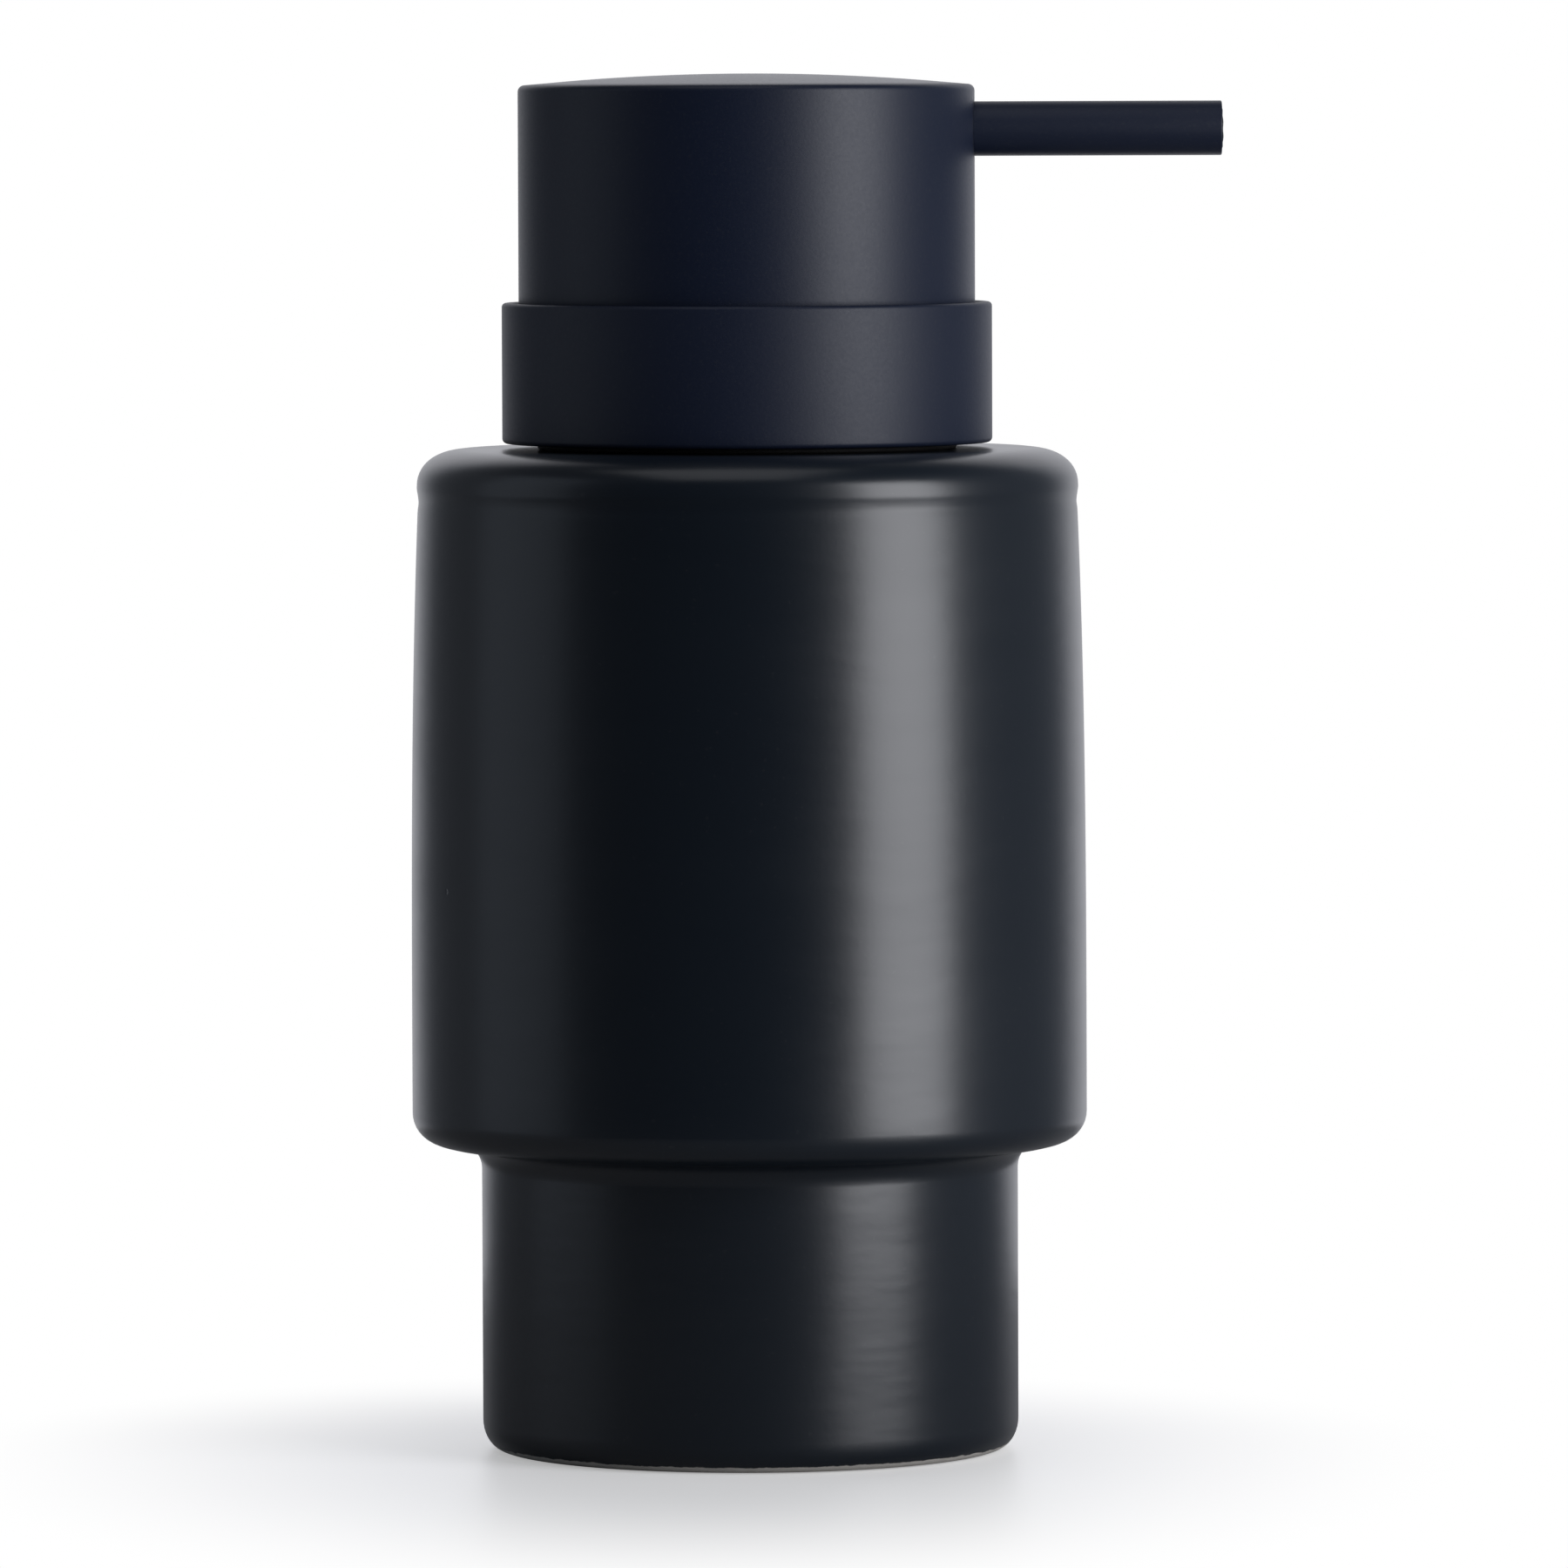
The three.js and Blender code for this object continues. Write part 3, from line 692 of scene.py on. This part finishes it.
def sweep(mesh, path, radius, sides):
    """A closed round bar along a path, whose points say how thick it is at each."""
    rings = []
    for point, outwards, taper in path:
        ring = []
        for k in range(sides):
            t = 2 * math.pi * k / sides
            offset = outwards * math.cos(t) + Vector((0, 0, math.sin(t)))
            ring.append(mesh.verts.new(point + offset * radius * taper))
        rings.append(ring)
    for low, high in zip(rings, rings[1:]):
        for k in range(sides):
            mesh.faces.new((low[k], low[(k + 1) % sides], high[(k + 1) % sides], high[k]))
    mesh.faces.new(rings[0])
    mesh.faces.new(rings[-1])


def helix(radius, bottom, rise, turns, steps, run_out=0):
    """Points, outward directions and tapers of a helix about Z. It keeps its full thickness up
    to both ends where run_out is 0."""
    path = []
    for i in range(steps + 1):
        share = i / steps
        turn = 2 * math.pi * turns * share
        outwards = Vector((math.cos(turn), math.sin(turn), 0))
        taper = min(1, THREAD_TIP + min(share, 1 - share) / run_out) if run_out else 1
        path.append((outwards * radius + Vector((0, 0, bottom + rise * share)), outwards, taper))
    return path


def threaded_neck():
    bottom, top, crest = span("neck_insert")
    outer = crest - THREAD_STAND
    inner = outer - NECK_WALL
    edge = MOULDED_EDGE
    neck = turned("threaded_neck", [
        (inner, bottom),
        (outer, bottom),
        *arc(outer - edge, top - edge, edge, 0, 90, 3),
        *arc(inner + edge, top - edge, edge, 90, 180, 3),
        (inner, bottom),
    ], "white_plastic")
    rise = THREAD_PITCH * THREAD_TURNS
    start = top - 2 * THREAD_BEAD - rise
    mesh = bmesh.new()
    path = helix((crest - THREAD_BEAD) * MM, start * MM, rise * MM, THREAD_TURNS, THREAD_STEPS,
                 THREAD_RUN_OUT)
    sweep(mesh, path, THREAD_BEAD * MM, BEAD_SIDES)
    return combined(neck, to_object("neck_thread", mesh, "white_plastic"), "UNION")


stands_for(threaded_neck(), "neck_insert", "bottle")

# %% [markdown]
# ## Washers
# A thin black washer keeps the collar off the glaze. It is a real part, but its black is partly
# painted shade: it stands for the shadow in the narrow gap and draws the dark line between the two. A
# second one, of silicone, seals the barrel's flange on the neck. Both are flat rings with rolled
# edges, so one function turns them.

# %% Washers
BARREL_BORE = 8.6
BARREL_WALL = 1.7


def washer(name, node, inner, slot):
    """A flat ring with rolled edges, in a node's place."""
    bottom, top, outer = span(node)
    edge = (top - bottom) * 0.45
    return turned(name, [
        *arc(inner + edge, bottom + edge, edge, 180, 270, 4),
        *arc(outer - edge, bottom + edge, edge, -90, 0, 4),
        *arc(outer - edge, top - edge, edge, 0, 90, 4),
        *arc(inner + edge, top - edge, edge, 90, 180, 4),
        (inner, bottom + edge),
    ], slot)


# The neck washer is a real part, but its black rubber is partly painted shade: it draws the shadow
# line in the gap under the collar.
stands_for(washer("neck_washer", "neck_gasket", MOUTH, "black_rubber"),
           "neck_gasket", "bottle")
stands_for(washer("pump_washer", "housing_gasket", BARREL_BORE + BARREL_WALL + CLEARANCE,
                  "silicone"), "housing_gasket", "pump")

# %% [markdown]
# ## Nut
# The nut is moulded, and hidden in the collar. It has shallow upright ribs outside, which key
# it into the metal. It is turned with four vertices to each rib, and those on the outside are
# then pulled in by a cosine, which is quicker than modelling a rib and copying it.

# %% Closure nut
GRIP_RIBS = 36
GRIP_DEPTH = 0.35
NUT_EDGE = 0.4
SKIN = 0.01


def closure_nut():
    bottom, top, outer = span("closure_nut")
    bore = span("neck_insert")[2] + CLEARANCE
    hole = span("guide_bush")[2] + CLEARANCE
    ledge = span("pump_housing")[1] + CLEARANCE
    edge = NUT_EDGE
    mesh = bmesh.new()
    spin(mesh, [
        (bore, bottom),
        *arc(outer - edge, bottom + edge, edge, -90, 0, 3),
        *arc(outer - edge, top - edge, edge, 0, 90, 3),
        *arc(hole + edge, top - edge, edge, 90, 180, 3),
        (hole, ledge),
        (bore, ledge),
        (bore, bottom),
    ], 4 * GRIP_RIBS, Vector())
    for vert in mesh.verts:
        radius = math.hypot(vert.co.x, vert.co.y)
        if radius > (outer - SKIN) * MM:
            turn = math.atan2(vert.co.y, vert.co.x)
            cut = GRIP_DEPTH * MM * (0.5 - 0.5 * math.cos(GRIP_RIBS * turn))
            vert.co.x -= cut * math.cos(turn)
            vert.co.y -= cut * math.sin(turn)
    return to_object("ribbed_nut", mesh, "dark_plastic")


stands_for(closure_nut(), "closure_nut", "closure")

# %% [markdown]
# ## The pump below the collar
# Lifted out, the pump shows its white barrel, the cone and socket under it, and the long
# suction tube with a slanted cut. The barrel's flange hangs it on the neck. A small vent near
# its top lets air in as soap goes out. The barrel is one turned section, inside and outside,
# and the vent is drilled.

# %% Barrel
SOCKET_DEPTH = 10.0
SOCKET_WALL = 1.5
SEAT_WALL = 1.5
SEAT_BORE = 1.4
BALL_BORE = 2.9
FLANGE = 1.6
VENT = 0.8
VENT_DROP = 11.0
VENT_DRILL = 8.0
BARREL_SIDES = 96
VENT_SIDES = 24


def pump_barrel():
    bottom, top, flange = span("pump_housing")
    tube = span("dip_tube")[2]
    outer = BARREL_BORE + BARREL_WALL
    socket = tube + CLEARANCE
    socket_top = bottom + SOCKET_DEPTH
    floor = span("valve_cage")[0]
    under_flange = top - FLANGE
    edge = MOULDED_EDGE
    barrel = turned("pump_barrel", [
        (socket, bottom),
        *arc(socket + SOCKET_WALL - edge, bottom + edge, edge, -90, 0, 3),
        (socket + SOCKET_WALL, socket_top),
        (outer, floor - BARREL_WALL),
        *arc(outer + edge, under_flange - edge, edge, 180, 90, 3),
        *arc(flange - edge, under_flange + edge, edge, -90, 0, 3),
        *arc(flange - edge, top - edge, edge, 0, 90, 3),
        (BARREL_BORE, top),
        (BARREL_BORE, floor),
        (BALL_BORE, floor),
        (BALL_BORE, socket_top + SEAT_WALL),
        (SEAT_BORE, socket_top + SEAT_WALL),
        (SEAT_BORE, socket_top),
        (socket, socket_top),
        (socket, bottom),
    ], "white_plastic", sides=BARREL_SIDES)
    middle = Vector((0, outer * MM, (under_flange - VENT_DROP) * MM))
    return drilled(barrel, middle, "X", VENT * MM, VENT_DRILL * MM, "white_plastic", VENT_SIDES)


stands_for(pump_barrel(), "pump_housing", "pump")

# %% [markdown]
# The suction tube is extruded polyethylene. Its lower end is cut at a slant, so that it can't
# suck itself shut on the floor of the bottle. It is turned with one ring of points above the
# cut, so that only the end below the ring is slanted.

# %% Suction tube
TUBE_WALL = 1.0
CUT_RING = 8.0
SLANT = math.tan(math.radians(30))


def suction_tube():
    bottom, top, outer = span("dip_tube")
    inner = outer - TUBE_WALL
    ring = bottom + CUT_RING
    mesh = bmesh.new()
    spin(mesh, [(inner, bottom), (outer, bottom), (outer, ring), (outer, top), (inner, top),
                (inner, ring), (inner, bottom)], SMALL_ROUND, Vector())
    for vert in mesh.verts:
        if vert.co.z < (bottom + CUT_RING / 2) * MM:
            vert.co.z = bottom * MM + (outer * MM - vert.co.x) * SLANT
    return to_object("suction_tube", mesh, "clear_plastic")


stands_for(suction_tube(), "dip_tube", "pump")

# %% [markdown]
# ## The return spring
# The spring is one round wire wound along a helix, like the neck's thread but without a taper.
# It stands on the cage and has to shorten by the whole stroke when the pump goes down.
# Here it is only wound at rest; its length and the stroke are printed, but it is not squashed.

# %% Return spring
SPRING_WIRE = 0.5
SPRING_TURNS = 6.5
SPRING_STEPS = 160
JOINTS = {joint["name"]: joint for joint in frame["record"]["behaviour"]["joints"]}


def return_spring():
    bottom, top, outer = span("return_spring")
    rise = top - bottom - 2 * SPRING_WIRE
    mesh = bmesh.new()
    path = helix((outer - SPRING_WIRE) * MM, (bottom + SPRING_WIRE) * MM, rise * MM,
                 SPRING_TURNS, SPRING_STEPS)
    sweep(mesh, path, SPRING_WIRE * MM, BEAD_SIDES)
    spring = to_object("wound_spring", mesh, "steel")
    stroke = JOINTS["pump_stroke"]["range_m"][1]
    stands_for(spring, "return_spring", "pump")
    1 - stroke / ((top - bottom) * MM)
    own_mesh(spring)
    print("spring of", round(top - bottom, 1), "mm shortens by", round(stroke / MM, 1), "mm")


return_spring()

# %% [markdown]
# ## Parts that keep their modelled shape
# The rest hide inside: the bush, wiper, cage, ball, piston, plug, stem, core and seal. Their
# modelled shapes are right, so they stay. Each gets its finish, smooth faces with sharp
# corners, and a small bevel, because no moulded edge is a perfect corner.

# %% Finish the inner parts
INNER_BEVEL = 0.12
BEVEL_CORNER = math.radians(40)
SLOTS = {s["node"]: s["material_slot"] for s in frame["record"]["subparts"]}
INNER = ["guide_bush", "stem_wiper", "valve_cage", "inlet_ball", "pump_stem", "stem_plug",
         "piston_seal", "actuator_core", "spout_seal"]


def dress(node):
    """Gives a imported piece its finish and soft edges, and keeps its modelled shape."""
    piece = frame["nodes"][node]
    piece.data.materials.clear()
    piece.data.materials.append(FINISHES[SLOTS[node]])
    piece.data.shade_smooth()
    bevel = piece.modifiers.new("moulded_edges", "BEVEL")
    bevel.width = INNER_BEVEL * MM
    bevel.segments = 2
    bevel.limit_method = "ANGLE"
    bevel.angle_limit = BEVEL_CORNER
    bevel.harden_normals = True


for node in INNER:
    dress(node)
print(len(INNER), "inner parts finished")

# %% [markdown]
# ## Table
# The table is a pale satin board that fades into the white of the room, and keeps the soft
# shadow and the faint mirror image of the foot. The camera sees a brighter board than the
# other pieces do, so that it looks white and lights the bottle less from below. The fade
# reaches further towards the camera than to the back.

# %% Table
TABLE_RADIUS = 0.2
TABLE_LIFT = 0.38
FADE_START = 0.026
FADE_END = 0.093
FADE_CENTRE = -0.006
FADE_FRONT = 0.6
BOARD = (0.36, 0.36, 0.36)
BOARD_SEEN = (0.88, 0.88, 0.88)
WHITE = (1, 1, 1)


def table_top():
    finish, s = new_finish("pale_table")
    _, x, y, _ = s.place()
    seen = s.node("ShaderNodeLightPath", out="Is Camera Ray")
    across = x - FADE_CENTRE
    along = y * (y.step(-MM, MM) * (1 - FADE_FRONT) + FADE_FRONT)
    faded = ((across * across + along * along) ** 0.5).step(FADE_START, FADE_END)
    board = s.node("ShaderNodeBsdfPrincipled", None, {
        "Base Color": seen.blend(BOARD, BOARD_SEEN), "Roughness": 0.4, "IOR": 1.35})
    glow = s.node("ShaderNodeEmission", None, {"Color": WHITE, "Strength": seen * TABLE_LIFT})
    lit = s.node("ShaderNodeAddShader", None, {0: board, 1: glow})
    white = s.node("ShaderNodeEmission", None, {"Color": WHITE, "Strength": 1.0})
    shade = s.node("ShaderNodeMixShader", None, {0: faded * seen, 1: lit, 2: white})
    s.node("ShaderNodeOutputMaterial", None, {0: shade})

    mesh = bmesh.new()
    bmesh.ops.create_circle(mesh, cap_ends=True, segments=96, radius=TABLE_RADIUS,
                            matrix=Matrix.Translation((0, 0, -0.1 * MM)))
    data = bpy.data.meshes.new("table_top")
    mesh.to_mesh(data)
    mesh.free()
    board = bpy.data.objects.new("table_top", data)
    board.data.materials.append(finish)
    bpy.context.collection.objects.link(board)
    print("table of", TABLE_RADIUS, "m, white beyond", FADE_END, "m")


table_top()

# %% [markdown]
# ## Room
# Dark glossy things are lit by what they reflect. The room in front is dark, so the middle of
# the bottle stays black. Its walls get lighter to the sides, a little more at the right, and
# the pale backdrop behind gives both edges their thin bright line. Walls and backdrop fade
# towards the ceiling. The camera itself sees plain white. All of it is the world's shader, so
# nothing stands between the lamps and the bottle.

# %% Room
ROOM_DARK = 0.04
WALLS = 0.18
RIGHT_LIFT = 0.15
BACKDROP = 1.0
BACKDROP_TURN = 0.08
CEILING_FADE = (0.45, 0.95)
WALL_TINT = (0.82, 0.88, 1)
BACKDROP_TINT = (0.96, 0.955, 1)


def room():
    world = bpy.data.worlds.new("studio")
    bpy.context.scene.world = world
    s = Shader(world)
    towards = s.node("ShaderNodeTexCoord", out="Generated")
    apart = s.node("ShaderNodeSeparateXYZ", None, {0: towards}).socket.node
    x, y, z = (Field(s, apart.outputs[axis]) for axis in "XYZ")
    flat = (x * x + y * y) ** 0.5
    round_back = (y + x * BACKDROP_TURN) / flat
    walls = round_back.step(-0.9, 0) * (x / flat * RIGHT_LIFT + 1) * (WALLS - ROOM_DARK)
    backdrop = round_back.step(0.7, 0.95) * (BACKDROP - WALLS)
    camera = s.node("ShaderNodeLightPath", out="Is Camera Ray")
    level = (walls + backdrop) * (1 - z.step(*CEILING_FADE)) + ROOM_DARK
    light = camera + (1 - camera) * level
    tint = camera.blend(backdrop.blend(WALL_TINT, BACKDROP_TINT), WHITE)
    background = s.node("ShaderNodeBackground", None, {"Color": tint, "Strength": light})
    s.node("ShaderNodeOutputWorld", None, {0: background})
    print("room from", ROOM_DARK, "in front to", BACKDROP, "behind")


room()

# %% [markdown]
# ## Lamps
# One tall soft box at the right draws the long highlight. A dim wide panel at the left, a
# little bluer, lifts the other side. One overhead points straight down and catches the
# shoulder and the cap's top. They are area lamps, which the camera doesn't see but the glaze
# mirrors, so their sizes and places set the width and the edges of each highlight.

# %% Lamps
LAMP_TINT = (0.955, 0.96, 1)
FILL_TINT = (0.75, 0.85, 1)


def panel(name, azimuth, distance, height, size, brightness, tint=LAMP_TINT):
    """A soft box that faces the bottle. Azimuth is in degrees round from the camera to +X, and
    brightness is what a white card at the panel's own face would show."""
    data = bpy.data.lights.new(name, "AREA")
    data.shape = "RECTANGLE"
    data.size, data.size_y = size
    data.color = tint
    data.energy = brightness * math.pi * size[0] * size[1]
    lamp = bpy.data.objects.new(name, data)
    turn = math.radians(azimuth)
    lamp.location = (distance * math.sin(turn), -distance * math.cos(turn), height)
    inwards = Vector((0, 0, height)) - lamp.location
    lamp.rotation_euler = inwards.to_track_quat("-Z", "Y").to_euler()
    lamp.visible_camera = False
    bpy.context.collection.objects.link(lamp)
    print(name, "at", azimuth, "degrees,", round(data.energy, 2), "W")
    return lamp


panel("key_soft_box", 54.5, 1.0, 0.29, (0.57, 0.9), 4.9)
panel("left_fill", -84, 1.1, 0.44, (0.78, 1.2), 0.26, FILL_TINT)
overhead = panel("overhead", -15, 0.45, 1.3, (0.9, 1.1), 0.6)
overhead.rotation_euler = (0, 0, 0)

# %% [markdown]
# ## View
# The Standard view keeps white at white.

# %% View transform
scene = bpy.context.scene
scene.view_settings.view_transform = "Standard"
